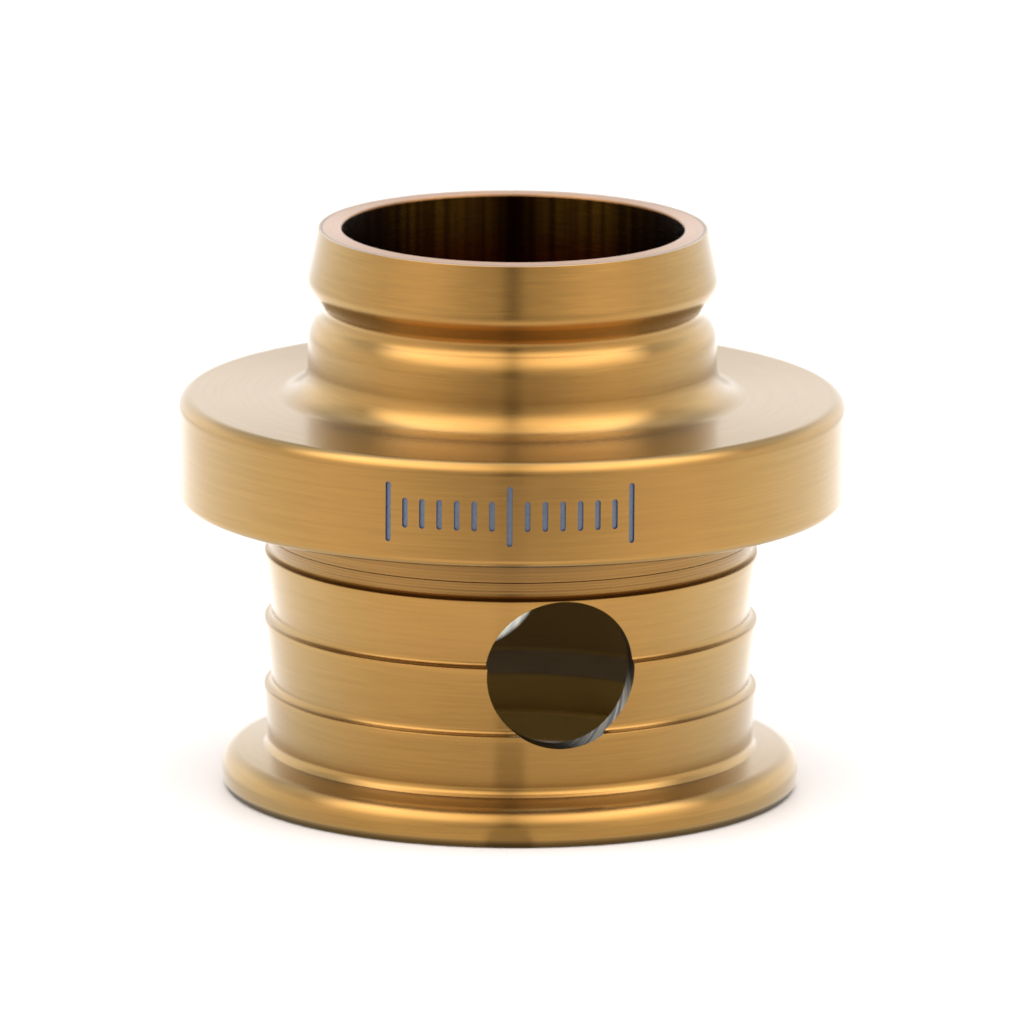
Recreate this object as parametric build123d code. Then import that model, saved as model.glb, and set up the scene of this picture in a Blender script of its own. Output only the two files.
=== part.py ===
"""Flanged adapter collar: a turned head, a ribbed cross-drilled barrel and a foot ring.

Millimetres. The axis of the collar is Z and the origin is the centre of its resting face.
The cross hole runs along Y, and the index scale on the flange is turned from -Y towards -X.
"""

from build123d import *
import math
import os

# Overall sizes
TUBE_BORE = 31.85
TOTAL_HEIGHT = 52.8
FIT_GAP = 0.02

# Neck, from the rim down
RIM_R = 18.1
LIP_R = 19.2
LIP_Z = 47.6
GROOVE_R = 17.46
GROOVE_Z = 45.08
SHOULDER_R = 19.0
SHOULDER_Z = 43.4
SHOULDER_RADIUS = 2.8
NECK_FOOT_RADIUS = 2.9

# Flange
FLANGE_R = 31.05
FLANGE_TOP = 37.08
FLANGE_BOTTOM = 27.22

# Seats inside the head
LINER_R = 16.9
LINER_BOTTOM = 41.5
LINER_RIM_R = 17.85
LINER_RIM_THICKNESS = 0.9
LAND_BOTTOM = 39.9
SOCKET_R = 20.62
SOCKET_TOP = 35.5

# Barrel
SEAM_Z = 24.1
BARREL_R = 22.8
SEAM_LAND = 0.75
UNDERCUT_R = 22.2
CAVITY_R = 18.5
RELIEF_R = 20.3
RELIEF_BOTTOM = 8.0
RELIEF_TOP = 22.2
RELIEF_TAPER = 1.8
SPIGOT_TOP = 34.0
RIB_R = 23.0
RIB_TOP = 22.4
RIB_PITCH = 6.4
RIB_COUNT = 3
LEDGE_RADIUS = 0.55
WAIST_R = 22.15
SEAL_GROOVE_Z = 29.5
SEAL_THICKNESS = 1.0
SEAL_GROOVE_WIDTH = 1.3
CROSS_HOLE_R = 6.95
CROSS_HOLE_Z = 15.35

# Foot
FOOT_SEAM_R = 23.0
FOOT_SEAM_Z = 3.88
FOOT_R = 27.0
FOOT_RADIUS = 1.9
FOOT_OPENING_R = 17.0
REGISTER_R = 19.2
REGISTER_DEPTH = 1.2

# Countersunk M2 screws under the foot
SCREW_CIRCLE_R = 20.35
SCREW_COUNT = 4
SCREW_R = 1.0
SCREW_HEAD_R = 1.85
SCREW_HEAD_DEPTH = 1.1
SCREW_RECESS = 0.15
SCREW_LENGTH = 6.0
SCREW_SOCKET_FLATS = 1.3
SCREW_SOCKET_DEPTH = 0.7

# Index scale engraved on the flange
SCALE_TURN = 12.5
SCALE_STEP = 3.0
SCALE_MARKS = 15
SCALE_DEPTH = 0.22
SCALE_WIDTH = 0.52
SCALE_SHORT = 2.8
SCALE_LONG = 5.6

BORE_R = TUBE_BORE / 2
GRIP_RING_INNER_R = BORE_R - 0.425
GRIP_RING_THICKNESS = LINER_R - GRIP_RING_INNER_R


def soften(shape, near, radius):
    """Round the corner of a flat outline that is nearest to the given point."""
    corner = min(shape.vertices(), key=lambda v: math.hypot(v.X - near[0], v.Y - near[1]))
    return fillet(corner, radius)


def turned(corners, roundings=()):
    """Turn an outline of (radius, height) corners about Z, with some corners rounded."""
    outline = make_face(Polyline(*corners, close=True))
    for near, radius in roundings:
        outline = soften(outline, near, radius)
    return revolve(Plane.XZ * outline, Axis.Z)


def ring_of_round_wire(inner_r, thickness, z):
    """A round-section ring."""
    section = Pos(inner_r + thickness / 2, z) * Circle(thickness / 2)
    return revolve(Plane.XZ * section, Axis.Z)


def cross_hole():
    """The drill's path along Y through both walls of the barrel."""
    return Pos(0, 0, CROSS_HOLE_Z) * Rot(90, 0, 0) * Cylinder(CROSS_HOLE_R, 4 * FOOT_R)


def scale_marks():
    """Round-ended engraved strokes, long at each end and in the middle of the scale."""
    middle_z = (FLANGE_TOP + FLANGE_BOTTOM) / 2
    half = (SCALE_MARKS - 1) // 2
    marks = []
    for index in range(-half, half + 1):
        length = SCALE_LONG if index % half == 0 else SCALE_SHORT
        stroke = extrude(SlotOverall(length, SCALE_WIDTH, rotation=90), amount=2 * SCALE_DEPTH)
        seated = Pos(0, 0, FLANGE_R - SCALE_DEPTH) * stroke
        upright = Rot(90, 0, 0) * seated
        marks.append(Rot(0, 0, index * SCALE_STEP - SCALE_TURN) * Pos(0, 0, middle_z) * upright)
    return marks


def head_collar():
    """Neck, clamping groove, flange and the stepped seats inside them."""
    corners = [
        (RIM_R, TOTAL_HEIGHT),
        (LIP_R, LIP_Z),
        (GROOVE_R, GROOVE_Z),
        (SHOULDER_R, SHOULDER_Z),
        (SHOULDER_R, FLANGE_TOP),
        (FLANGE_R, FLANGE_TOP),
        (FLANGE_R, FLANGE_BOTTOM),
        (BARREL_R, FLANGE_BOTTOM),
        (BARREL_R, SEAM_Z),
        (SOCKET_R, SEAM_Z),
        (SOCKET_R, SOCKET_TOP),
        (LINER_R, SOCKET_TOP),
        (LINER_R, LAND_BOTTOM),
        (BORE_R, LAND_BOTTOM),
        (BORE_R, LINER_BOTTOM),
        (LINER_R, LINER_BOTTOM),
        (LINER_R, TOTAL_HEIGHT - LINER_RIM_THICKNESS),
        (LINER_RIM_R, TOTAL_HEIGHT - LINER_RIM_THICKNESS),
        (LINER_RIM_R, TOTAL_HEIGHT),
    ]
    roundings = [
        ((LIP_R, LIP_Z), 2.0),
        ((GROOVE_R, GROOVE_Z), 1.3),
        ((SHOULDER_R, SHOULDER_Z), SHOULDER_RADIUS),
        ((SHOULDER_R, FLANGE_TOP), NECK_FOOT_RADIUS),
        ((FLANGE_R, FLANGE_TOP), 1.2),
        ((FLANGE_R, FLANGE_BOTTOM), 0.8),
        ((BARREL_R, FLANGE_BOTTOM), 0.3),
        ((BARREL_R, SEAM_Z), 0.1),
    ]
    body = turned(corners, roundings)
    for mark in scale_marks():
        body -= mark
    return body


def bore_liner():
    """Thin sleeve pressed into the neck; its rim covers the neck's end."""
    seat_z = TOTAL_HEIGHT - LINER_RIM_THICKNESS
    corners = [
        (BORE_R, LINER_BOTTOM),
        (LINER_R - FIT_GAP, LINER_BOTTOM),
        (LINER_R - FIT_GAP, seat_z),
        (LINER_RIM_R - FIT_GAP, seat_z),
        (LINER_RIM_R - FIT_GAP, TOTAL_HEIGHT),
        (BORE_R, TOTAL_HEIGHT),
    ]
    return turned(corners, [((BORE_R, TOTAL_HEIGHT), 0.15)])


def grip_ring(top):
    """Rubber ring that stands a little into the bore and holds a tube by friction."""
    thickness = GRIP_RING_THICKNESS - 2 * FIT_GAP
    return ring_of_round_wire(GRIP_RING_INNER_R + FIT_GAP, thickness, top - GRIP_RING_THICKNESS / 2)


def ring_spacer():
    """Metal ring that keeps the two grip rings apart."""
    top = LAND_BOTTOM - GRIP_RING_THICKNESS
    bottom = SOCKET_TOP + GRIP_RING_THICKNESS
    corners = [
        (BORE_R + FIT_GAP, bottom),
        (LINER_R - FIT_GAP, bottom),
        (LINER_R - FIT_GAP, top),
        (BORE_R + FIT_GAP, top),
    ]
    return turned(corners)


def stop_ring():
    """Washer clamped by the barrel; the tube's end stops on its inner edge."""
    corners = [
        (BORE_R - 1.2, SPIGOT_TOP),
        (SOCKET_R - FIT_GAP, SPIGOT_TOP),
        (SOCKET_R - FIT_GAP, SOCKET_TOP),
        (BORE_R - 1.2, SOCKET_TOP),
    ]
    return turned(corners, [((BORE_R - 1.2, SOCKET_TOP), 0.3)])


def joint_seal():
    """Rubber ring in the barrel's spigot groove."""
    inner_r = SOCKET_R - FIT_GAP - SEAL_THICKNESS
    return ring_of_round_wire(inner_r, SEAL_THICKNESS, SEAL_GROOVE_Z)


def rib_corners(crest_z):
    """Corners and roundings of one rib: flat ledge on top, sharp crest and the taper below it."""
    return [
        ((WAIST_R, crest_z), LEDGE_RADIUS),
        ((RIB_R, crest_z), 0.1),
        ((RIB_R - 0.02, crest_z - 0.5), 3.0),
    ]


def cavity_corners():
    """Inside of the barrel, upwards: bore, wider relief behind the cross hole, bore."""
    return [
        (CAVITY_R, FOOT_SEAM_Z - REGISTER_DEPTH),
        (CAVITY_R, RELIEF_BOTTOM - RELIEF_TAPER),
        (RELIEF_R, RELIEF_BOTTOM),
        (RELIEF_R, RELIEF_TOP),
        (CAVITY_R, RELIEF_TOP + RELIEF_TAPER),
        (CAVITY_R, SPIGOT_TOP),
    ]


def ribbed_barrel():
    """Hollow barrel with three ribs, a spigot for the head and the cross hole."""
    spigot_r = SOCKET_R - FIT_GAP
    seal_floor_r = spigot_r - SEAL_THICKNESS - FIT_GAP
    corners = cavity_corners() + [
        (spigot_r, SPIGOT_TOP),
        (spigot_r, SEAL_GROOVE_Z + SEAL_GROOVE_WIDTH / 2),
        (seal_floor_r, SEAL_GROOVE_Z + SEAL_GROOVE_WIDTH / 2),
        (seal_floor_r, SEAL_GROOVE_Z - SEAL_GROOVE_WIDTH / 2),
        (spigot_r, SEAL_GROOVE_Z - SEAL_GROOVE_WIDTH / 2),
        (spigot_r, SEAM_Z),
    ]
    shaped = [
        ((BARREL_R, SEAM_Z), 0.06),
        ((BARREL_R, SEAM_Z - SEAM_LAND), 0.06),
        ((UNDERCUT_R, SEAM_Z - SEAM_LAND - 0.1), 0.08),
        ((UNDERCUT_R, RIB_TOP), LEDGE_RADIUS),
    ]
    for index in range(RIB_COUNT):
        rib = rib_corners(RIB_TOP - index * RIB_PITCH)
        shaped += rib if index else rib[1:]
    shaped.append(((WAIST_R + 0.37, FOOT_SEAM_Z + 0.5), 0.8))
    corners += [corner for corner, radius in shaped]
    corners += [
        (FOOT_SEAM_R, FOOT_SEAM_Z),
        (REGISTER_R, FOOT_SEAM_Z),
        (REGISTER_R, FOOT_SEAM_Z - REGISTER_DEPTH),
    ]
    body = turned(corners, shaped) - cross_hole()
    depth = SCREW_RECESS + SCREW_LENGTH + 0.3
    for place in screw_places():
        body -= place * Pos(0, 0, depth / 2) * Cylinder(SCREW_R + FIT_GAP, depth)
    return body


def foot_ring():
    """Rounded foot screwed under the barrel, open in the middle."""
    ledge_z = FOOT_SEAM_Z - REGISTER_DEPTH - FIT_GAP
    corners = [
        (FOOT_OPENING_R, 0),
        (FOOT_R - 0.45, 0),
        (FOOT_R, 0.9),
        (FOOT_R, FOOT_SEAM_Z - 0.5),
        (FOOT_SEAM_R, FOOT_SEAM_Z),
        (REGISTER_R + FIT_GAP, FOOT_SEAM_Z),
        (REGISTER_R + FIT_GAP, ledge_z),
        (FOOT_OPENING_R, ledge_z),
    ]
    roundings = [
        ((FOOT_R - 0.45, 0), 0.3),
        ((FOOT_R, 0.9), 0.9),
        ((FOOT_R, FOOT_SEAM_Z - 0.5), FOOT_RADIUS),
        ((FOOT_OPENING_R, 0), 0.2),
    ]
    body = turned(corners, roundings)
    for place in screw_places():
        body -= place * screw_blank(FIT_GAP, 0, FOOT_SEAM_Z + 1)
    return body


def screw_places():
    """Places of the foot screws, midway between the cross hole and the sides."""
    step = 360 / SCREW_COUNT
    return [Rot(0, 0, step / 2 + step * index) * Pos(SCREW_CIRCLE_R, 0, 0) for index in range(SCREW_COUNT)]


def screw_blank(gap, bottom, top):
    """Countersunk screw shape on the Z axis, head down, grown by the gap."""
    cone_top = SCREW_RECESS + SCREW_HEAD_DEPTH
    corners = [
        (0, bottom),
        (SCREW_HEAD_R + gap, bottom),
        (SCREW_HEAD_R + gap, SCREW_RECESS + 0.2),
        (SCREW_R + gap, cone_top),
        (SCREW_R + gap, top),
        (0, top),
    ]
    return turned(corners)


def foot_screws():
    """Four countersunk screws with hexagon sockets, heads just inside the foot."""
    top = SCREW_RECESS + SCREW_LENGTH
    socket = extrude(RegularPolygon(SCREW_SOCKET_FLATS / 2, 6, major_radius=False), amount=SCREW_SOCKET_DEPTH)
    screw = screw_blank(0, SCREW_RECESS, top) - Pos(0, 0, SCREW_RECESS) * socket
    return Compound([(place * screw).solid() for place in screw_places()])


def build_all():
    """Every piece of the collar by node name."""
    lower_ring_top = SOCKET_TOP + GRIP_RING_THICKNESS
    return {
        "head_collar": head_collar(),
        "bore_liner": bore_liner(),
        "upper_grip_ring": grip_ring(LAND_BOTTOM),
        "ring_spacer": ring_spacer(),
        "lower_grip_ring": grip_ring(lower_ring_top),
        "stop_ring": stop_ring(),
        "joint_seal": joint_seal(),
        "ribbed_barrel": ribbed_barrel(),
        "foot_ring": foot_ring(),
        "foot_screws": foot_screws(),
    }


os.makedirs("parts", exist_ok=True)
for node, shape in build_all().items():
    export_step(shape, f"parts/{node}.step")
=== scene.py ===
"""Looks of the flanged adapter collar: turned, bronze-coated steel in a white light tent.

Outlines are (radius, height, rounding) corners in millimetres, as in the CAD frame.
"""

import math
from types import SimpleNamespace

import bmesh
import bpy
from mathutils import Matrix, Vector


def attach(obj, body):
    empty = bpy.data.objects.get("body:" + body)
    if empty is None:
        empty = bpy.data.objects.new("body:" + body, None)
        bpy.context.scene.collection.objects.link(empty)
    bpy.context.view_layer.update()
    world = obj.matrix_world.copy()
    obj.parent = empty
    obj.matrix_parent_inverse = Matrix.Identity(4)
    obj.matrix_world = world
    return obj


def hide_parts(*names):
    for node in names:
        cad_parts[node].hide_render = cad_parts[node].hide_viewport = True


MM = 0.001

# Fineness of the meshes
SEGMENTS = 720
ARC_STEP = math.radians(4)
LONGEST_RUN, END_SUPPORT = 0.5, 0.03
CREASE = math.radians(32)

# Camera: far away, slightly above, turned so that the cross hole is right of the middle
VIEW_TURN = math.radians(-12.25)
VIEW_TILT = math.radians(12.36)
VIEW_ROLL = math.radians(0.36)
VIEW_DISTANCE = 1586.9 * MM
LENS_MM = 599.2
AIM_Z = 25.81 * MM
AIM_SIDE = 0.06 * MM
F_STOP = 45.0
# Focus lies this share of the flange's radius in front of the aim
FOCUS_SHARE = 0.93

# Head
RIM_R = 18.1
LIP_R, LIP_Z = 19.2, 47.6
GROOVE_R, GROOVE_Z = 17.46, 45.08
SHOULDER_R, SHOULDER_Z = 19.0, 43.4
SHOULDER_RADIUS, NECK_FOOT_RADIUS = 2.8, 2.9
FLANGE_R = 31.05
FLANGE_TOP, FLANGE_BOTTOM = 37.08, 27.22
TOP_Z = 52.8
BORE_R = 15.925
LINER_R, LINER_BOTTOM = 16.9, 41.5
LINER_RIM_R, LINER_RIM = 17.85, 0.9
LAND_BOTTOM = 39.9
SOCKET_R, SOCKET_TOP = 20.62, 35.5
GAP = 0.02
RIM_EDGE, LIP_EDGE, GROOVE_EDGE = 0.06, 2.0, 1.3
FLANGE_TOP_EDGE, FLANGE_BOTTOM_EDGE, FLANGE_ROOT = 1.2, 0.8, 0.3
LINER_RIM_EDGE, LINER_MOUTH_EDGE = 0.05, 0.15

# Barrel, from the seam with the head down, then foot and screws
SEAM_Z, SEAM_LAND = 24.1, 0.75
HEAD_SEAM_EDGE, SEAM_EDGE = 0.1, 0.06
BARREL_R, UNDERCUT_R = 22.8, 22.2
UNDERCUT_SLOPE, UNDERCUT_EDGE = 0.1, 0.08
CAVITY_R, RELIEF_R = 18.5, 20.3
RELIEF_BOTTOM, RELIEF_TOP, RELIEF_TAPER = 8.0, 22.2, 1.8
SPIGOT_TOP = 34.0
RIB_R = 23.0
RIB_TOP, RIB_PITCH, RIB_COUNT = 22.4, 6.4, 3
RIB_EDGE, RIB_LAND, RIB_LAND_TAPER, RIB_ROLL = 0.1, 0.5, 0.02, 3.0
WAIST_R, LEDGE_RADIUS = 22.15, 0.55
TAIL_OUT, TAIL_RISE, TAIL_EDGE = 0.37, 0.5, 0.8
SEAL_Z, SEAL_THICKNESS, SEAL_WIDTH = 29.5, 1.0, 1.3
HOLE_R, HOLE_Z = 6.95, 15.35
DRILL_REACH, DRILL_SEGMENTS = 40, 240
FOOT_SEAM_R, FOOT_SEAM_Z = 23.0, 3.88
FOOT_R, FOOT_RADIUS, FOOT_OPENING_R = 27.0, 1.9, 17.0
FOOT_SHOULDER_DROP, FOOT_OPENING_EDGE = 0.5, 0.2
FOOT_UNDER_IN, FOOT_UNDER_RISE, FOOT_UNDER_EDGE = 0.45, 0.9, 0.3
REGISTER_R, REGISTER_DEPTH = 19.2, 1.2
SCREW_COUNT, SCREW_CIRCLE_R, SCREW_R, SCREW_HEAD_R = 4, 20.35, 1.0, 1.85
SCREW_TOP = 6.15
SINK_TOP, CONE_TOP, TAP_END = 0.35, 1.25, 0.3
SCREW_SEGMENTS = 48

# Index scale
SCALE_TURN = math.radians(-12.5)
SCALE_STEP, SCALE_MARKS = 3.0, 15
SCALE_DEPTH, SCALE_WIDTH = 0.22, 0.52
SCALE_SHORT, SCALE_LONG = 2.8, 5.6
STROKE_END_STEPS = 16


# ---------------------------------------------------------------- mesh helpers


def arc_points(before, corner, after, radius):
    """Points of the arc that rounds a corner between two neighbours."""
    to_before = (before - corner).normalized()
    to_after = (after - corner).normalized()
    half = to_before.angle(to_after) / 2
    reach = radius / math.tan(half)
    centre = corner + (to_before + to_after).normalized() * (radius / math.sin(half))
    start = corner + to_before * reach - centre
    end = corner + to_after * reach - centre
    sweep = start.angle_signed(end)
    steps = max(3, math.ceil(abs(sweep) / ARC_STEP))
    points = []
    for index in range(steps + 1):
        turn = -sweep * index / steps
        points.append(centre + Matrix.Rotation(turn, 2) @ start)
    return points


def outline(corners):
    """Closed outline with its corners rounded and its straight runs divided."""
    tips = [Vector(corner[:2]) for corner in corners]
    rounding = [corner[2] if len(corner) > 2 else 0 for corner in corners]
    path = []
    for index, tip in enumerate(tips):
        before = tips[index - 1]
        after = tips[(index + 1) % len(tips)]
        if rounding[index]:
            path.append(arc_points(before, tip, after, rounding[index]))
        else:
            path.append([tip])
    points = []
    for index, stretch in enumerate(path):
        points += stretch
        points += divided(stretch[-1], path[(index + 1) % len(path)][0])
    return points


def divided(start, end):
    """Inner points of a straight run, with a close one at each end to hold the shading."""
    run = end - start
    if run.length < 3 * END_SUPPORT:
        return []
    count = max(1, math.ceil(run.length / LONGEST_RUN))
    shares = [END_SUPPORT / run.length]
    shares += [step / count for step in range(1, count)]
    shares.append(1 - END_SUPPORT / run.length)
    return [start + run * share for share in shares]


def new_object(name, vertices, faces):
    """Mesh object in the scene from its corners, in metres, and its faces."""
    mesh = bpy.data.meshes.new(name)
    mesh.from_pydata(vertices, [], faces)
    mesh.update()
    piece = bpy.data.objects.new(name, mesh)
    bpy.context.scene.collection.objects.link(piece)
    return piece


def lathe(name, corners):
    """Closed ring turned from an outline that stays off the axis."""
    points = outline(corners)
    count = len(points)
    vertices = []
    for segment in range(SEGMENTS):
        angle = 2 * math.pi * segment / SEGMENTS
        c, s = math.cos(angle) * MM, math.sin(angle) * MM
        vertices += [(p.x * c, p.x * s, p.y * MM) for p in points]
    faces = []
    for segment in range(SEGMENTS):
        here = segment * count
        there = (segment + 1) % SEGMENTS * count
        for index in range(count):
            following = (index + 1) % count
            faces.append((here + index, there + index, there + following, here + following))
    piece = new_object(name, vertices, faces)
    face_outwards(piece)
    return piece


def face_outwards(piece):
    """Turn all faces of a closed mesh outwards."""
    bm = bmesh.new()
    bm.from_mesh(piece.data)
    bmesh.ops.recalc_face_normals(bm, faces=bm.faces)
    bm.to_mesh(piece.data)
    bm.free()


def prism(name, rim, low, high):
    """Straight prism over a closed plan of (x, y) points, from low to high on Z."""
    count = len(rim)
    vertices = [(x * MM, y * MM, low * MM) for x, y in rim]
    vertices += [(x * MM, y * MM, high * MM) for x, y in rim]
    faces = [tuple(range(count)), tuple(range(count, 2 * count))]
    faces += [(i, (i + 1) % count, count + (i + 1) % count, count + i) for i in range(count)]
    piece = new_object(name, vertices, faces)
    face_outwards(piece)
    return piece


def circle_plan(radius, count):
    """Points round a circle."""
    angles = [2 * math.pi * index / count for index in range(count)]
    return [(radius * math.cos(angle), radius * math.sin(angle)) for angle in angles]


def carve(piece, cutters):
    """Take every cutter out of the piece, then delete the cutters."""
    joined = join(cutters) if len(cutters) > 1 else cutters[0]
    cut = piece.modifiers.new("cut", "BOOLEAN")
    cut.operation = "DIFFERENCE"
    cut.solver = "EXACT"
    cut.object = joined
    bpy.context.view_layer.update()
    graph = bpy.context.evaluated_depsgraph_get()
    result = bpy.data.meshes.new_from_object(piece.evaluated_get(graph))
    piece.modifiers.clear()
    piece.data = result
    bpy.data.objects.remove(joined)


def join(pieces):
    """One mesh object out of several, by copying their geometry."""
    bm = bmesh.new()
    for piece in pieces:
        part = piece.data.copy()
        part.transform(piece.matrix_world)
        bm.from_mesh(part)
        bpy.data.meshes.remove(part)
    mesh = bpy.data.meshes.new("joined")
    bm.to_mesh(mesh)
    bm.free()
    for piece in pieces:
        bpy.data.objects.remove(piece)
    whole = bpy.data.objects.new("joined", mesh)
    bpy.context.scene.collection.objects.link(whole)
    return whole


def smooth(piece):
    """Smooth shading with creases where faces meet at a clear angle."""
    mesh = piece.data
    mesh.polygons.foreach_set("use_smooth", [True] * len(mesh.polygons))
    mesh.set_sharp_from_angle(angle=CREASE)


def wear(piece, *materials):
    """Give the piece its materials, in the order of its faces' numbers."""
    piece.data.materials.clear()
    for material in materials:
        piece.data.materials.append(material)


def mount(piece, node):
    """Stand for a CAD node and ride with it."""
    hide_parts(node)
    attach(piece, "root")


# ---------------------------------------------------------------- node helpers


class Nodes:
    """Short hand for building a shader's node tree."""

    def __init__(self, tree):
        self.tree = tree

    def add(self, kind, **inputs):
        """New node with its inputs set by name, or as i0, i1 and so on by number."""
        return self.fill(self.tree.nodes.new(kind), inputs)

    def fill(self, node, inputs):
        """Link sockets and set plain values."""
        for key, value in inputs.items():
            numbered = key[0] == "i" and key[1:].isdigit()
            socket = node.inputs[int(key[1:])] if numbered else node.inputs[key]
            if isinstance(value, bpy.types.NodeSocket):
                self.tree.links.new(value, socket)
            else:
                socket.default_value = value
        return node

    def math(self, operation, a, b=0.0, c=0.0):
        node = self.tree.nodes.new("ShaderNodeMath")
        node.operation = operation
        return self.fill(node, {"i0": a, "i1": b, "i2": c}).outputs[0]

    def ramp(self, value, low, high, to_low=0.0, to_high=1.0, kind="SMOOTHSTEP"):
        """Value taken from the span low to high onto the span to_low to to_high."""
        node = self.tree.nodes.new("ShaderNodeMapRange")
        node.interpolation_type = kind
        spans = {"i0": value, "i1": low, "i2": high, "i3": to_low, "i4": to_high}
        return self.fill(node, spans).outputs[0]

    def curve(self, value, points, scale):
        """Smooth curve led by (place, height) points, places 0 to 1 and heights up to the scale."""
        node = self.tree.nodes.new("ShaderNodeValToRGB")
        ramp = node.color_ramp
        ramp.interpolation = "B_SPLINE"
        while len(ramp.elements) < len(points):
            ramp.elements.new(0.5)
        for index, point in enumerate(points):
            ramp.elements[index].position = point[0]
        for index, point in enumerate(points):
            ramp.elements[index].color = grey(point[1] / scale)
        self.fill(node, {"Fac": value})
        return self.math("MULTIPLY", node.outputs["Color"], scale)

    def mix(self, factor, a, b, blend="MIX"):
        node = self.tree.nodes.new("ShaderNodeMix")
        node.data_type = "RGBA"
        node.blend_type = blend
        return self.fill(node, {"i0": factor, "i6": a, "i7": b}).outputs[2]

    def vector(self, x, y, z):
        return self.add("ShaderNodeCombineXYZ", i0=x, i1=y, i2=z).outputs[0]

    def grey(self, value):
        return self.vector(value, value, value)

    def noise(self, vector, scale, detail=2.0, roughness=0.5):
        node = self.add("ShaderNodeTexNoise", Vector=vector, Scale=scale)
        return self.fill(node, {"Detail": detail, "Roughness": roughness}).outputs["Fac"]

    def scaled(self, value, factor):
        return self.math("MULTIPLY", value, factor)

    def bump(self, height, strength, distance):
        """Normal of a surface roughened by a height, at most the distance in millimetres."""
        node = self.add("ShaderNodeBump", Strength=strength, Distance=distance * MM, Height=height)
        return node.outputs[0]


def rgb(red, green, blue):
    return (red, green, blue, 1.0)


def grey(value):
    return rgb(value, value, value)


def object_place(nodes):
    """The shaded point in the piece's own frame, in metres."""
    return nodes.add("ShaderNodeTexCoord").outputs["Object"]


def new_material(name):
    """Material with an empty Principled shader as its surface."""
    material = bpy.data.materials.new(name)
    material.use_nodes = True
    material.node_tree.nodes.clear()
    nodes = Nodes(material.node_tree)
    output = nodes.add("ShaderNodeOutputMaterial")
    shader = nodes.add("ShaderNodeBsdfPrincipled")
    material.node_tree.links.new(shader.outputs[0], output.inputs["Surface"])
    return material, nodes, shader


def lathe_coordinates(nodes):
    """The shaded point's x, y and z and its radius from the axis, in millimetres."""
    parts = nodes.add("ShaderNodeSeparateXYZ", Vector=object_place(nodes)).outputs
    x, y, z = [nodes.scaled(part, 1 / MM) for part in parts]
    squares = nodes.math("ADD", nodes.math("MULTIPLY", x, x), nodes.math("MULTIPLY", y, y))
    return SimpleNamespace(x=x, y=y, z=z, radius=nodes.math("SQRT", squares))


def turning_marks(nodes, seed, fine=26.0):
    """Fine, wide and broken turning lines that run round the axis, each 0 to 1."""
    at = lathe_coordinates(nodes)
    off_axis = nodes.math("MAXIMUM", at.radius, 0.001)
    round_x = nodes.math("DIVIDE", at.x, off_axis)
    round_y = nodes.math("DIVIDE", at.y, off_axis)
    across = nodes.math("ADD", at.radius, nodes.scaled(at.z, 1.13))

    def marks(pitch, breaks, shift, detail):
        place = nodes.vector(
            nodes.math("MULTIPLY_ADD", across, fine * pitch, shift),
            nodes.math("MULTIPLY_ADD", round_x, breaks, seed),
            nodes.scaled(round_y, breaks),
        )
        return nodes.noise(place, 1.0, detail, 0.6)

    return SimpleNamespace(
        fine=marks(1.0, 1.7, 0.0, 3.0),
        wide=marks(0.12, 2.5, 3.1, 2.0),
        broken=marks(0.34, 6.0, 7.3, 2.0),
    )


# ---------------------------------------------------------------- materials


# Coating seen square on, seen at a slant, and darkened by painted shade in the band below the flange
GOLD = rgb(0.285, 0.150, 0.042)
GOLD_TILTED = rgb(0.315, 0.203, 0.078)
PAINTED_SHADE_GOLD = rgb(0.165, 0.085, 0.030)
BRONZE_ROUGHNESS = 0.22
PAINTED_SHADE_BAND_R = 23.2


def bronze(name, seed):
    """The collar's bronze-gold coating over turned steel."""
    material, nodes, shader = new_material(name)
    lines = turning_marks(nodes, seed)
    at = lathe_coordinates(nodes)
    cloud = nodes.noise(object_place(nodes), 90.0, 3.0, 0.6)
    tone = nodes.math("ADD", nodes.scaled(lines.fine, 0.2), nodes.scaled(lines.wide, 0.3))
    soft = nodes.math("MULTIPLY_ADD", lines.broken, 0.25, nodes.scaled(cloud, 0.15))
    shade = nodes.ramp(nodes.math("ADD", tone, soft), 0.35, 0.65, 0.89, 1.11, "LINEAR")
    facing = nodes.add("ShaderNodeLayerWeight", Blend=0.5).outputs["Facing"]
    gold = nodes.mix(nodes.ramp(facing, 0.1, 0.55), GOLD, GOLD_TILTED)
    # Painted shade: the band below the flange is darkened, most of all below the seam
    gold = nodes.mix(painted_shade_under_flange(nodes, at), gold, PAINTED_SHADE_GOLD)
    tinted = nodes.mix(1.0, gold, nodes.grey(shade), "MULTIPLY")
    finish_metal(nodes, shader, tinted, BRONZE_ROUGHNESS, lines)
    return material


def painted_shade_under_flange(nodes, at):
    """How far a place takes the painted shade of the band below the flange, with its ring marks, 0 to 1.
    """
    above = nodes.ramp(at.z, RIB_TOP, RIB_TOP + 1)
    below = nodes.ramp(at.z, FLANGE_BOTTOM - 0.12, FLANGE_BOTTOM + 0.03, 1.0, 0.0)
    inside = nodes.ramp(at.radius, PAINTED_SHADE_BAND_R, PAINTED_SHADE_BAND_R + 0.4, 1.0, 0.0)
    band = nodes.math("MULTIPLY", nodes.math("MULTIPLY", above, below), inside)
    rings = nodes.noise(nodes.vector(nodes.scaled(at.z, 4.2), 0.7, 0.2), 1.0, 2.0, 0.6)
    # Painted shade is deeper in the undercut below the seam
    darker_below_seam = nodes.ramp(at.z, SEAM_Z - 0.9, SEAM_Z - 0.6, 1.25, 0.85)
    depth = nodes.math("MULTIPLY", nodes.ramp(rings, 0.35, 0.6, 0.4, 0.9), darker_below_seam)
    return nodes.math("MULTIPLY", band, depth)


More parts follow.
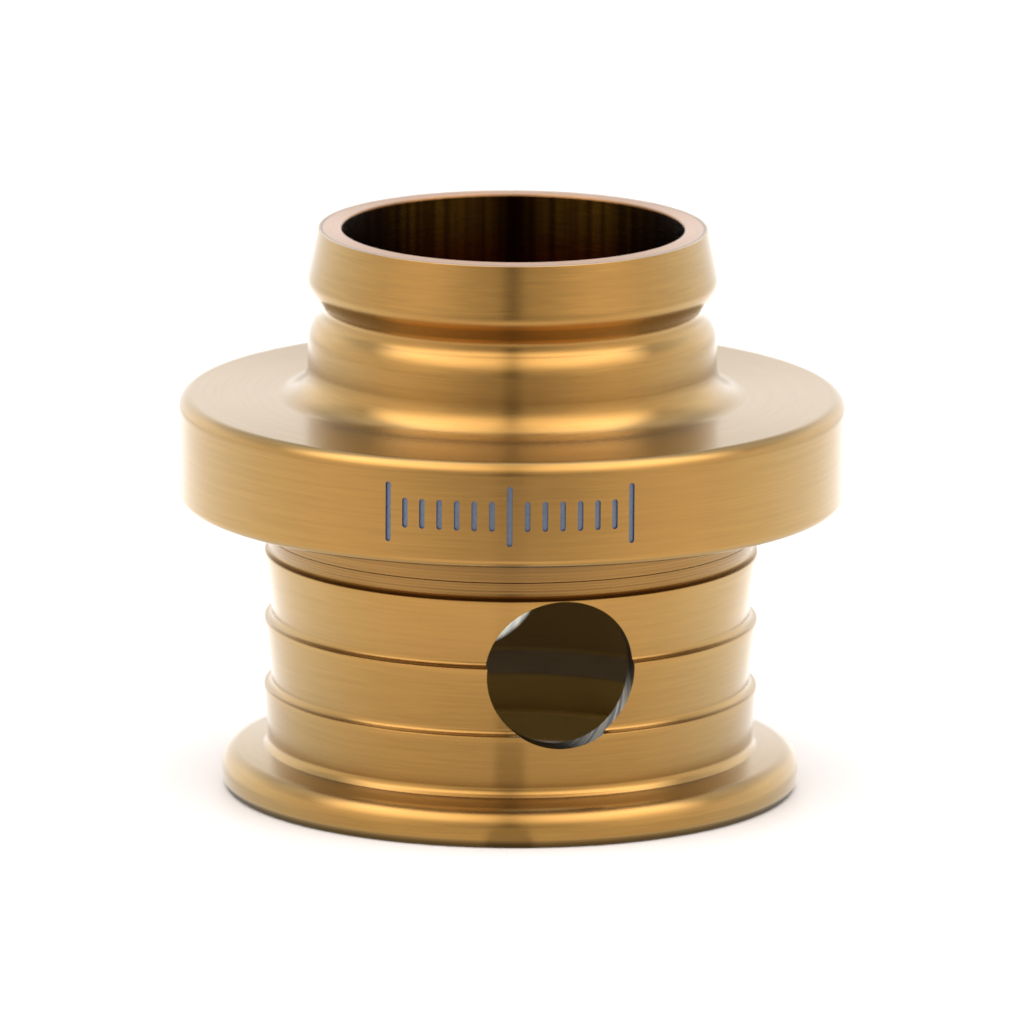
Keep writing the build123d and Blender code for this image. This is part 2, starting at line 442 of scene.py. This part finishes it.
def finish_metal(nodes, shader, tinted, roughness, lines):
    """Roughness, turning-line bump and stretched shine of a turned metal."""
    height = nodes.math("ADD", nodes.scaled(lines.fine, 0.7), nodes.scaled(lines.wide, 0.5))
    tangent = nodes.tree.nodes.new("ShaderNodeTangent")
    tangent.direction_type = "RADIAL"
    tangent.axis = "Z"
    values = {
        "Base Color": tinted,
        "Metallic": 1.0,
        "Roughness": nodes.math("MULTIPLY_ADD", lines.broken, 0.10, roughness - 0.05),
        "Anisotropic": 0.8,
        "Anisotropic Rotation": 0.25,
        "Normal": nodes.bump(height, 0.35, 0.004),
        "Tangent": tangent.outputs[0],
    }
    nodes.fill(shader, values)


# Painted light and shade of the bore, by how far sideways its wall is from the camera, as a share of the
# bore's radius
BORE_BANDS = [
    (0.0, 0.02),
    (0.06, 0.15),
    (0.14, 0.6),
    (0.35, 0.85),
    (0.52, 1.0),
    (0.64, 0.7),
    (0.74, 0.35),
    (0.88, 0.25),
    (1.0, 0.5),
]
BORE_DARK = rgb(0.010, 0.001, 0.001)
BORE_LOW, BORE_HIGH = rgb(0.085, 0.014, 0.002), rgb(0.11, 0.05, 0.006)
RIM_BRONZE, RIM_LINE = rgb(0.32, 0.155, 0.06), rgb(0.07, 0.05, 0.06)


def liner_metal():
    """Finely turned sleeve: bronze rim with a dark outer line, and a bore with painted light on its two
    sides.
    """
    material, nodes, shader = new_material("liner_steel")
    lines = turning_marks(nodes, 7.7, 34.0)
    shade = nodes.ramp(lines.broken, 0.3, 0.7, 0.85, 1.15, "LINEAR")
    at = lathe_coordinates(nodes)
    side = camera_parts(nodes, object_place(nodes))[1]
    bands = nodes.curve(nodes.math("DIVIDE", side, BORE_R * MM), BORE_BANDS, 1.0)
    angle = nodes.math("ARCTAN2", at.y, at.x)
    streaks = nodes.noise(nodes.vector(nodes.scaled(angle, 22.0), 0.3, 0.9), 1.0, 2.0, 0.6)
    bands = nodes.math("MULTIPLY", bands, nodes.ramp(streaks, 0.35, 0.65, 0.4, 1.25))
    # Painted light: the bore gets lighter towards its mouth
    lit = nodes.mix(nodes.ramp(at.z, TOP_Z - 7.0, TOP_Z - 1.5), BORE_LOW, BORE_HIGH)
    inside = nodes.mix(bands, BORE_DARK, lit)
    base = nodes.mix(nodes.ramp(at.z, TOP_Z - 0.2, TOP_Z - 0.02), inside, RIM_BRONZE)
    edge_line = nodes.ramp(at.radius, LINER_RIM_R - 0.3, LINER_RIM_R - 0.04)
    base = nodes.mix(nodes.scaled(edge_line, 0.8), base, RIM_LINE)
    tinted = nodes.mix(1.0, base, nodes.grey(shade), "MULTIPLY")
    finish_metal(nodes, shader, tinted, 0.26, lines)
    return material


def drilled_steel():
    """Wall of the cross hole: dark, with helical drill marks given painted highlights low on one side, and
    painted light on the far wall.
    """
    material, nodes, shader = new_material("drilled_steel")
    at = lathe_coordinates(nodes)
    round_hole = nodes.math("ARCTAN2", nodes.math("SUBTRACT", at.z, HOLE_Z), at.x)
    helix = nodes.math("SUBTRACT", nodes.scaled(at.y, 1.7), nodes.scaled(round_hole, 17.0))
    marks = nodes.noise(nodes.vector(helix, 0.4, 2.0), 1.0, 2.0, 0.6)
    speck = nodes.noise(nodes.vector(at.x, at.y, at.z), 3.0, 2.0, 0.5)
    # Painted highlight: only the drill marks low on one side are lit
    window_start = nodes.ramp(round_hole, -1.5, -1.1)
    window_end = nodes.ramp(round_hole, -0.25, 0.05, 1.0, 0.0)
    highlight_window = nodes.math("MULTIPLY", window_start, window_end)
    lit = nodes.math("MULTIPLY", nodes.ramp(marks, 0.45, 0.6), highlight_window)
    dull = nodes.mix(speck, rgb(0.012, 0.011, 0.009), rgb(0.045, 0.042, 0.034))
    # Painted light: the wall beyond the axis, away from the camera, is lighter than the near one
    dull = nodes.mix(nodes.ramp(at.y, -1.0, 1.0), dull, rgb(0.16, 0.16, 0.13))
    values = {
        "Base Color": nodes.mix(lit, dull, rgb(0.46, 0.42, 0.33)),
        "Metallic": 1.0,
        "Roughness": 0.3,
        "Normal": nodes.bump(marks, 0.8, 0.03),
    }
    nodes.fill(shader, values)
    return material


def cavity_metal():
    """Dull wall inside the barrel, darkened with painted shade, darkest on the taper below the relief."""
    material, nodes, shader = new_material("cavity_metal")
    lines = turning_marks(nodes, 4.4, 12.0)
    cloud = nodes.noise(object_place(nodes), 70.0, 3.0, 0.6)
    low = nodes.mix(nodes.ramp(cloud, 0.3, 0.7), rgb(0.20, 0.110, 0.013), rgb(0.25, 0.145, 0.020))
    at = lathe_coordinates(nodes)
    taper_foot = RELIEF_BOTTOM - RELIEF_TAPER - 0.2
    taper_top = RELIEF_BOTTOM - 0.05
    on_taper = nodes.math(
        "MULTIPLY",
        nodes.ramp(at.z, taper_foot, taper_foot + 0.25),
        nodes.ramp(at.z, taper_top, taper_top + 0.15, 1.0, 0.0),
    )
    # Painted shade: darker above the relief's bottom, and darkest on the taper
    colour = nodes.mix(nodes.ramp(at.z, RELIEF_BOTTOM, RELIEF_BOTTOM + 0.4), low, rgb(0.145, 0.080, 0.010))
    values = {
        "Base Color": nodes.mix(on_taper, colour, rgb(0.065, 0.036, 0.005)),
        "Metallic": 0.35,
        "Roughness": nodes.ramp(lines.broken, 0.3, 0.7, 0.6, 0.75, "LINEAR"),
        "Normal": nodes.bump(lines.wide, 0.3, 0.01),
    }
    nodes.fill(shader, values)
    return material


def engraved_metal():
    """Engraved strokes: grey floor, blue heat tint up the walls."""
    material, nodes, shader = new_material("engraved_metal")
    at = lathe_coordinates(nodes)
    depth = nodes.math("SUBTRACT", FLANGE_R, at.radius)
    on_floor = nodes.ramp(depth, SCALE_DEPTH - 0.05, SCALE_DEPTH - 0.005)
    speck = nodes.noise(nodes.vector(at.x, at.y, at.z), 6.0, 3.0, 0.6)
    silver = nodes.mix(speck, rgb(0.05, 0.06, 0.075), rgb(0.15, 0.17, 0.22))
    blue = nodes.mix(speck, rgb(0.02, 0.05, 0.17), rgb(0.05, 0.10, 0.32))
    values = {
        "Base Color": nodes.mix(on_floor, blue, silver),
        "Metallic": 0.8,
        "Roughness": 0.42,
        "Normal": nodes.bump(speck, 0.5, 0.02),
    }
    nodes.fill(shader, values)
    return material


def plain_steel():
    """Uncoated turned steel of the inner rings and screws."""
    material, nodes, shader = new_material("plain_steel")
    lines = turning_marks(nodes, 1.2, 20.0)
    shade = nodes.ramp(lines.fine, 0.3, 0.7)
    colour = nodes.mix(shade, rgb(0.28, 0.27, 0.26), rgb(0.38, 0.37, 0.36))
    finish_metal(nodes, shader, colour, 0.3, lines)
    return material


def black_rubber():
    """Matt rubber of the grip rings and the seal, with a fine grain."""
    material, nodes, shader = new_material("black_rubber")
    place = object_place(nodes)
    grain = nodes.noise(place, 2600.0, 4.0, 0.6)
    bloom = nodes.noise(place, 160.0, 2.0, 0.5)
    values = {
        "Base Color": nodes.mix(bloom, rgb(0.012, 0.012, 0.012), rgb(0.035, 0.034, 0.032)),
        "Roughness": nodes.ramp(grain, 0.2, 0.8, 0.5, 0.75),
        "Normal": nodes.bump(grain, 0.4, 0.02),
    }
    nodes.fill(shader, values)
    return material


# Painted light: brightness the floor glows with as the metal sees it, by distance from the axis as a share
# of the reach:
# straight ahead, along the middle line (a factor on the one before), and to both sides
FLOOR_REACH = 300 * MM
FLOOR_FRONT = [
    (0.0, 1.6),
    (0.1, 1.6),
    (0.125, 1.3),
    (0.15, 1.25),
    (0.173, 1.6),
    (0.22, 2.4),
    (0.3, 2.2),
    (0.4, 1.8),
    (0.52, 1.05),
    (0.6, 0.93),
    (1.0, 0.85),
]
FLOOR_STRIP = [
    (0.0, 0.6),
    (0.11, 0.6),
    (0.145, 0.6),
    (0.165, 0.75),
    (0.19, 1.0),
    (0.55, 1.0),
    (0.62, 0.85),
    (0.7, 0.55),
    (1.0, 0.45),
]
FLOOR_SIDE = [
    (0.0, 1.3),
    (0.107, 1.35),
    (0.15, 1.6),
    (0.22, 2.0),
    (0.4, 2.12),
    (0.6, 2.1),
    (0.7, 1.7),
    (1.0, 1.6),
]
FLOOR_SEEN = 0.62
FLOOR_SIZE, FLOOR_GAP = 3000, 0.02
# A colour ramp holds 0 to 1, so the curves of brightness are kept as shares of this
BRIGHTEST = 4.0


def paper():
    """White sweep under the object with a painted shadow close to the foot; the metal sees it glow with
    painted light, darker in front and close to the foot.
    """
    material, nodes, shader = new_material("white_paper")
    place = object_place(nodes)
    fibre = nodes.noise(place, 900.0, 4.0, 0.6)
    colour = nodes.mix(fibre, rgb(0.98, 0.965, 0.955), rgb(1.0, 0.99, 0.985))
    colour = nodes.mix(1.0, colour, grey(FLOOR_SEEN), "MULTIPLY")
    distance = nodes.add("ShaderNodeVectorMath", i0=place)
    distance.operation = "LENGTH"
    reach = distance.outputs["Value"]
    # Painted shadow: the floor is tinted darker close to the foot
    painted_foot_shadow = nodes.ramp(reach, FOOT_R * MM, (FOOT_R + 16) * MM, 1.0, 0.0)
    colour = nodes.mix(painted_foot_shadow, colour, rgb(0.96, 0.92, 0.90), "MULTIPLY")
    values = {"Base Color": colour, "Roughness": 0.55, "Normal": nodes.bump(fibre, 0.1, 0.02)}
    nodes.fill(shader, values)
    level = floor_level(nodes, place, reach)
    glow = nodes.add("ShaderNodeEmission", Color=grey(1.0), Strength=level)
    seen = nodes.add("ShaderNodeLightPath").outputs["Is Camera Ray"]
    both = nodes.add("ShaderNodeMixShader", i0=seen, i1=glow.outputs[0], i2=shader.outputs[0])
    tree = material.node_tree
    output = next(node for node in tree.nodes if node.bl_idname == "ShaderNodeOutputMaterial")
    tree.links.new(both.outputs[0], output.inputs["Surface"])
    return material


def floor_level(nodes, place, reach):
    """Painted light: brightness the floor glows with as the metal sees it, with a painted contact shadow
    at the foot.
    """
    front, side = camera_parts(nodes, place)
    far = nodes.math("DIVIDE", reach, FLOOR_REACH)
    sideways = nodes.math("DIVIDE", side, nodes.math("MAXIMUM", reach, MM))
    off_middle = nodes.ramp(sideways, 0.02, 0.11)
    strip = nodes.math("MAXIMUM", nodes.curve(far, FLOOR_STRIP, 1.0), off_middle)
    ahead = nodes.math("MULTIPLY", nodes.curve(far, FLOOR_FRONT, BRIGHTEST), strip)
    aside = nodes.ramp(sideways, 0.24, 0.86, kind="LINEAR")
    aside = nodes.math("MAXIMUM", aside, nodes.ramp(front, 10 * MM, -10 * MM))
    level = nodes.curve(far, FLOOR_SIDE, BRIGHTEST)
    level = nodes.math("MULTIPLY_ADD", nodes.math("SUBTRACT", level, ahead), aside, ahead)
    # Painted shadow: the glow is dimmed where the foot meets the floor
    painted_contact_shadow = nodes.ramp(reach, (FOOT_R - 0.2) * MM, (FOOT_R + 0.6) * MM, 0.2, 1.0)
    return nodes.math("MULTIPLY", level, painted_contact_shadow)


# ---------------------------------------------------------------- pieces


def stroke_cutter(index, turn, length):
    """Round-ended cutter of one engraved stroke, pointing out of the flange."""
    half = SCALE_WIDTH / 2
    straight = length / 2 - half
    plan = []
    for side in (1, -1):
        for step in range(STROKE_END_STEPS + 1):
            angle = math.pi * step / STROKE_END_STEPS
            plan.append((side * half * math.cos(angle), side * (straight + half * math.sin(angle))))
    cutter = prism("stroke_%02d" % index, plan, FLANGE_R - SCALE_DEPTH, FLANGE_R + 1)
    middle = Matrix.Translation((0, 0, (FLANGE_TOP + FLANGE_BOTTOM) / 2 * MM))
    upright = Matrix.Rotation(math.pi / 2, 4, "X")
    cutter.matrix_world = Matrix.Rotation(turn, 4, "Z") @ middle @ upright
    return cutter


def head_collar(metal, engraved):
    """Neck with lip, groove and shoulder, and the flange with its engraved index scale."""
    corners = [
        (RIM_R, TOP_Z, RIM_EDGE),
        (LIP_R, LIP_Z, LIP_EDGE),
        (GROOVE_R, GROOVE_Z, GROOVE_EDGE),
        (SHOULDER_R, SHOULDER_Z, SHOULDER_RADIUS),
        (SHOULDER_R, FLANGE_TOP, NECK_FOOT_RADIUS),
        (FLANGE_R, FLANGE_TOP, FLANGE_TOP_EDGE),
        (FLANGE_R, FLANGE_BOTTOM, FLANGE_BOTTOM_EDGE),
        (BARREL_R, FLANGE_BOTTOM, FLANGE_ROOT),
        (BARREL_R, SEAM_Z, HEAD_SEAM_EDGE),
        (SOCKET_R, SEAM_Z),
        (SOCKET_R, SOCKET_TOP),
        (LINER_R, SOCKET_TOP),
        (LINER_R, LAND_BOTTOM),
        (BORE_R, LAND_BOTTOM),
        (BORE_R, LINER_BOTTOM),
        (LINER_R, LINER_BOTTOM),
        (LINER_R, TOP_Z - LINER_RIM),
        (LINER_RIM_R, TOP_Z - LINER_RIM),
        (LINER_RIM_R, TOP_Z),
    ]
    piece = lathe("head_collar_metal", corners)
    half = (SCALE_MARKS - 1) // 2
    cutters = []
    for index in range(-half, half + 1):
        length = SCALE_LONG if index % half == 0 else SCALE_SHORT
        turn = math.radians(index * SCALE_STEP) + SCALE_TURN
        cutters.append(stroke_cutter(index + half, turn, length))
    carve(piece, cutters)
    smooth(piece)
    wear(piece, metal, engraved)
    for face in piece.data.polygons:
        middle = face.center / MM
        out = math.hypot(middle.x, middle.y)
        inset = FLANGE_R - SCALE_DEPTH - 0.05 < out < FLANGE_R - 0.01
        level = abs(middle.z - (FLANGE_TOP + FLANGE_BOTTOM) / 2) < SCALE_LONG / 2 + 0.1
        face.material_index = 1 if inset and level else 0
    mount(piece, "head_collar")


def bore_liner(metal):
    """Thin sleeve in the neck, with a rim that covers the neck's end."""
    seat = TOP_Z - LINER_RIM
    corners = [
        (BORE_R, LINER_BOTTOM),
        (LINER_R - GAP, LINER_BOTTOM),
        (LINER_R - GAP, seat),
        (LINER_RIM_R - GAP, seat),
        (LINER_RIM_R - GAP, TOP_Z, LINER_RIM_EDGE),
        (BORE_R, TOP_Z, LINER_MOUTH_EDGE),
    ]
    piece = lathe("bore_liner_metal", corners)
    smooth(piece)
    wear(piece, metal)
    mount(piece, "bore_liner")


def barrel_corners():
    """Outline of the barrel: relieved cavity, spigot with its seal groove, undercut and ribs."""
    spigot = SOCKET_R - GAP
    seal_floor = spigot - SEAL_THICKNESS - GAP
    corners = [
        (CAVITY_R, FOOT_SEAM_Z - REGISTER_DEPTH),
        (CAVITY_R, RELIEF_BOTTOM - RELIEF_TAPER),
        (RELIEF_R, RELIEF_BOTTOM),
        (RELIEF_R, RELIEF_TOP),
        (CAVITY_R, RELIEF_TOP + RELIEF_TAPER),
        (CAVITY_R, SPIGOT_TOP),
        (spigot, SPIGOT_TOP),
        (spigot, SEAL_Z + SEAL_WIDTH / 2),
        (seal_floor, SEAL_Z + SEAL_WIDTH / 2),
        (seal_floor, SEAL_Z - SEAL_WIDTH / 2),
        (spigot, SEAL_Z - SEAL_WIDTH / 2),
        (spigot, SEAM_Z),
        (BARREL_R, SEAM_Z, SEAM_EDGE),
        (BARREL_R, SEAM_Z - SEAM_LAND, SEAM_EDGE),
        (UNDERCUT_R, SEAM_Z - SEAM_LAND - UNDERCUT_SLOPE, UNDERCUT_EDGE),
        (UNDERCUT_R, RIB_TOP, LEDGE_RADIUS),
    ]
    for index in range(RIB_COUNT):
        crest = RIB_TOP - index * RIB_PITCH
        if index:
            corners.append((WAIST_R, crest, LEDGE_RADIUS))
        corners.append((RIB_R, crest, RIB_EDGE))
        corners.append((RIB_R - RIB_LAND_TAPER, crest - RIB_LAND, RIB_ROLL))
    corners += [
        (WAIST_R + TAIL_OUT, FOOT_SEAM_Z + TAIL_RISE, TAIL_EDGE),
        (FOOT_SEAM_R, FOOT_SEAM_Z),
        (REGISTER_R, FOOT_SEAM_Z),
        (REGISTER_R, FOOT_SEAM_Z - REGISTER_DEPTH),
    ]
    return corners


def screw_places():
    """Places of the foot screws' axes."""
    turns = [math.radians(360 * (index + 0.5) / SCREW_COUNT) for index in range(SCREW_COUNT)]
    return [
        Matrix.Translation(Vector((math.cos(turn), math.sin(turn), 0)) * SCREW_CIRCLE_R * MM)
        for turn in turns
    ]


def ribbed_barrel(metal, drilled, cavity):
    """Barrel with its cross hole and the blind holes for the foot screws."""
    piece = lathe("ribbed_barrel_metal", barrel_corners())
    drill = prism("cross_drill", circle_plan(HOLE_R, DRILL_SEGMENTS), -DRILL_REACH, DRILL_REACH)
    level = Matrix.Rotation(math.pi / 2, 4, "X")
    drill.matrix_world = Matrix.Translation((0, 0, HOLE_Z * MM)) @ level
    cutters = [drill]
    for index, place in enumerate(screw_places()):
        plan = circle_plan(SCREW_R + GAP, SCREW_SEGMENTS)
        tap = prism("tap_%d" % index, plan, 0, SCREW_TOP + TAP_END)
        tap.matrix_world = place
        cutters.append(tap)
    carve(piece, cutters)
    smooth(piece)
    wear(piece, metal, drilled, cavity)
    for face in piece.data.polygons:
        middle = face.center / MM
        from_drill = Vector((middle.x, 0, middle.z - HOLE_Z))
        on_wall = abs(from_drill.length - HOLE_R) < 0.02
        out = math.hypot(middle.x, middle.y)
        if on_wall and abs(face.normal.dot(from_drill)) > 0.9 * HOLE_R:
            face.material_index = 1
        elif out < RELIEF_R + 0.03 and middle.z < SEAM_Z or out < CAVITY_R + 0.03:
            face.material_index = 2
        else:
            face.material_index = 0
    mount(piece, "ribbed_barrel")


def foot_ring(metal, cavity):
    """Rounded foot with a register for the barrel and countersunk holes for its screws."""
    ledge = FOOT_SEAM_Z - REGISTER_DEPTH - GAP
    corners = [
        (FOOT_OPENING_R, 0, FOOT_OPENING_EDGE),
        (FOOT_R - FOOT_UNDER_IN, 0, FOOT_UNDER_EDGE),
        (FOOT_R, FOOT_UNDER_RISE, FOOT_UNDER_RISE),
        (FOOT_R, FOOT_SEAM_Z - FOOT_SHOULDER_DROP, FOOT_RADIUS),
        (FOOT_SEAM_R, FOOT_SEAM_Z),
        (REGISTER_R + GAP, FOOT_SEAM_Z),
        (REGISTER_R + GAP, ledge),
        (FOOT_OPENING_R, ledge),
    ]
    piece = lathe("foot_ring_metal", corners)
    cutters = []
    for index, place in enumerate(screw_places()):
        sink = countersink("sink_%d" % index)
        sink.matrix_world = place
        cutters.append(sink)
    carve(piece, cutters)
    smooth(piece)
    wear(piece, metal, cavity)
    for face in piece.data.polygons:
        middle = face.center / MM
        inside = math.hypot(middle.x, middle.y) < REGISTER_R + 0.1 and middle.z > 0.25
        face.material_index = 1 if inside else 0
    mount(piece, "foot_ring")


def countersink(name):
    """Cutter for one screw's clearance hole, in the shape of a countersunk screw, head down."""
    heights = [
        (SCREW_HEAD_R + GAP, -1),
        (SCREW_HEAD_R + GAP, SINK_TOP),
        (SCREW_R + GAP, CONE_TOP),
        (SCREW_R + GAP, FOOT_SEAM_Z + 1),
    ]
    count = SCREW_SEGMENTS
    vertices = []
    for radius, z in heights:
        vertices += [(x * MM, y * MM, z * MM) for x, y in circle_plan(radius, count)]
    faces = [tuple(range(count))]
    for row in range(len(heights) - 1):
        low, high = row * count, (row + 1) * count
        for index in range(count):
            following = (index + 1) % count
            faces.append((low + index, low + following, high + following, high + index))
    faces.append(tuple(range((len(heights) - 1) * count, len(heights) * count)))
    piece = new_object(name, vertices, faces)
    face_outwards(piece)
    return piece


# ---------------------------------------------------------------- stage, light, camera


def toward_camera():
    """Level direction from the object to the camera."""
    return Vector((math.sin(VIEW_TURN), -math.cos(VIEW_TURN), 0))


# Brightness of the tent by how far sideways a direction points; 1 is the white of the picture
TENT_WALL = [
    (0.0, 0.33),
    (0.03, 0.4),
    (0.08, 0.65),
    (0.13, 0.95),
    (0.33, 1.1),
    (0.49, 1.27),
    (0.68, 1.75),
    (0.85, 1.95),
    (1.0, 1.55),
]
TENT_PANEL = [
    (0.0, 1.4),
    (0.03, 1.8),
    (0.07, 2.4),
    (0.13, 2.7),
    (0.25, 3.1),
    (0.37, 3.6),
    (0.5, 3.9),
    (0.75, 3.7),
    (1.0, 1.9),
]
TENT_BACK = [
    (0.0, 1.58),
    (0.1, 1.6),
    (0.22, 1.62),
    (0.31, 1.7),
    (0.42, 1.87),
    (0.6, 2.15),
    (0.8, 1.95),
    (1.0, 1.65),
]
TENT_SEEN = 1.6


def light_tent():
    """White tent as the world's light: dim round the camera, with wide panels overhead in front."""
    world = bpy.data.worlds.new("light_tent")
    bpy.context.scene.world = world
    world.use_nodes = True
    world.node_tree.nodes.clear()
    nodes = Nodes(world.node_tree)
    level = tent_level(nodes, nodes.add("ShaderNodeTexCoord").outputs["Generated"])
    seen = nodes.add("ShaderNodeLightPath").outputs["Is Camera Ray"]
    level = nodes.math("MULTIPLY_ADD", nodes.math("SUBTRACT", TENT_SEEN, level), seen, level)
    background = nodes.add("ShaderNodeBackground", Color=grey(1.0), Strength=level)
    output = nodes.add("ShaderNodeOutputWorld")
    world.node_tree.links.new(background.outputs[0], output.inputs["Surface"])


def tent_level(nodes, way):
    """Brightness of the tent in a direction: walls, panels overhead, and a dim gap behind them.

    The lean tells the camera's side, where it is above 0, from the side behind the object.
    """
    up = nodes.add("ShaderNodeSeparateXYZ", Vector=way).outputs[2]
    front, side = camera_parts(nodes, way)
    rise = nodes.scaled(nodes.math("ARCSINE", up), 180 / math.pi)
    lean = nodes.math("SUBTRACT", front, nodes.scaled(side, 0.33))
    lean = nodes.math("ADD", nodes.math("DIVIDE", lean, nodes.math("MAXIMUM", up, 0.3)), 0.45)
    back = nodes.curve(side, TENT_BACK, BRIGHTEST)
    wall = nodes.math("SUBTRACT", nodes.curve(side, TENT_WALL, BRIGHTEST), back)
    wall = nodes.math("MULTIPLY_ADD", wall, nodes.ramp(lean, -0.5, 0.0), back)
    panel = nodes.math("MULTIPLY", nodes.curve(side, TENT_PANEL, BRIGHTEST), nodes.ramp(rise, 13, 58))
    panel = nodes.math("MULTIPLY", panel, nodes.ramp(lean, -0.25, 0.25))
    gap = nodes.math("MULTIPLY", nodes.ramp(rise, 20, 36), nodes.ramp(rise, 42, 60, 1.0, 0.0))
    gap = nodes.math("MULTIPLY", gap, nodes.ramp(lean, -0.35, -0.1, -0.75, 0.0))
    return nodes.math("ADD", nodes.math("ADD", wall, panel), gap)


def camera_parts(nodes, way):
    """How far a direction or place lies to the camera's side, and how far to either hand."""
    camera_side = toward_camera()
    front = nodes.add("ShaderNodeVectorMath", i0=way, i1=tuple(camera_side))
    front.operation = "DOT_PRODUCT"
    side = nodes.add("ShaderNodeVectorMath", i0=way, i1=(-camera_side.y, camera_side.x, 0))
    side.operation = "DOT_PRODUCT"
    return front.outputs["Value"], nodes.math("ABSOLUTE", side.outputs["Value"])


def floor(material):
    """Wide sheet just below the foot."""
    size = FLOOR_SIZE
    plan = [(-size, -size), (size, -size), (size, size), (-size, size)]
    vertices = [(x * MM, y * MM, 0) for x, y in plan]
    sheet = new_object("tent_floor", vertices, [(0, 1, 2, 3)])
    sheet.data.materials.append(material)
    sheet.location.z = -FLOOR_GAP * MM
    return sheet


def camera(ground):
    """Long lens with a little depth of field."""
    data = bpy.data.cameras.new("camera")
    data.sensor_width = 36
    data.lens = LENS_MM
    data.clip_start = 0.05
    data.clip_end = 20
    eye = bpy.data.objects.new("camera", data)
    bpy.context.scene.collection.objects.link(eye)
    level = toward_camera()
    aim = Vector((-level.y, level.x, 0)) * AIM_SIDE + Vector((0, 0, AIM_Z))
    away = level * math.cos(VIEW_TILT) + Vector((0, 0, math.sin(VIEW_TILT)))
    eye.location = aim + away * VIEW_DISTANCE
    look = (-away).to_track_quat("-Z", "Y").to_matrix().to_4x4()
    eye.matrix_world = Matrix.Translation(eye.location) @ look @ Matrix.Rotation(VIEW_ROLL, 4, "Z")
    data.dof.use_dof = True
    data.dof.aperture_fstop = F_STOP
    follow_focus(data, eye, ground)
    bpy.context.scene.camera = eye


def follow_focus(data, eye, ground):
    """Keep the focus on the near side of the flange, from wherever the camera looks."""
    ahead = eye.location.length - VIEW_DISTANCE + FLANGE_R * FOCUS_SHARE * MM
    driver = data.dof.driver_add("focus_distance").driver
    reach = driver.variables.new()
    reach.name = "reach"
    reach.type = "LOC_DIFF"
    reach.targets[0].id = eye
    reach.targets[1].id = ground
    driver.expression = "reach - %.6f" % ahead


def view_settings():
    """Plain colour handling, with nothing added to the picture."""
    view = bpy.context.scene.view_settings
    view.view_transform = "Standard"
    view.look = "None"
    view.exposure = 0
    view.gamma = 1


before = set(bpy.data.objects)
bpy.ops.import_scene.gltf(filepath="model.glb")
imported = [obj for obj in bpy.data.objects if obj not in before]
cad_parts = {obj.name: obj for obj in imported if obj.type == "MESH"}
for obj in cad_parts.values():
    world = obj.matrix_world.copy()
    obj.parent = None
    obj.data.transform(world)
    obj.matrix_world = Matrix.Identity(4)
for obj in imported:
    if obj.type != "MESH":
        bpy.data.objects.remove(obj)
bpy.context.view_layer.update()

steel = plain_steel()
rubber = black_rubber()
head_collar(bronze("bronze_head", 1.0), engraved_metal())
bore_liner(liner_metal())
cavity = cavity_metal()
ribbed_barrel(bronze("bronze_barrel", 2.0), drilled_steel(), cavity)
foot_ring(bronze("bronze_foot", 3.0), cavity)

for node in ("ring_spacer", "stop_ring", "foot_screws"):
    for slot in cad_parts[node].material_slots:
        slot.material = steel
for node in ("upper_grip_ring", "lower_grip_ring", "joint_seal"):
    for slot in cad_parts[node].material_slots:
        slot.material = rubber

light_tent()
camera(floor(paper()))
view_settings()
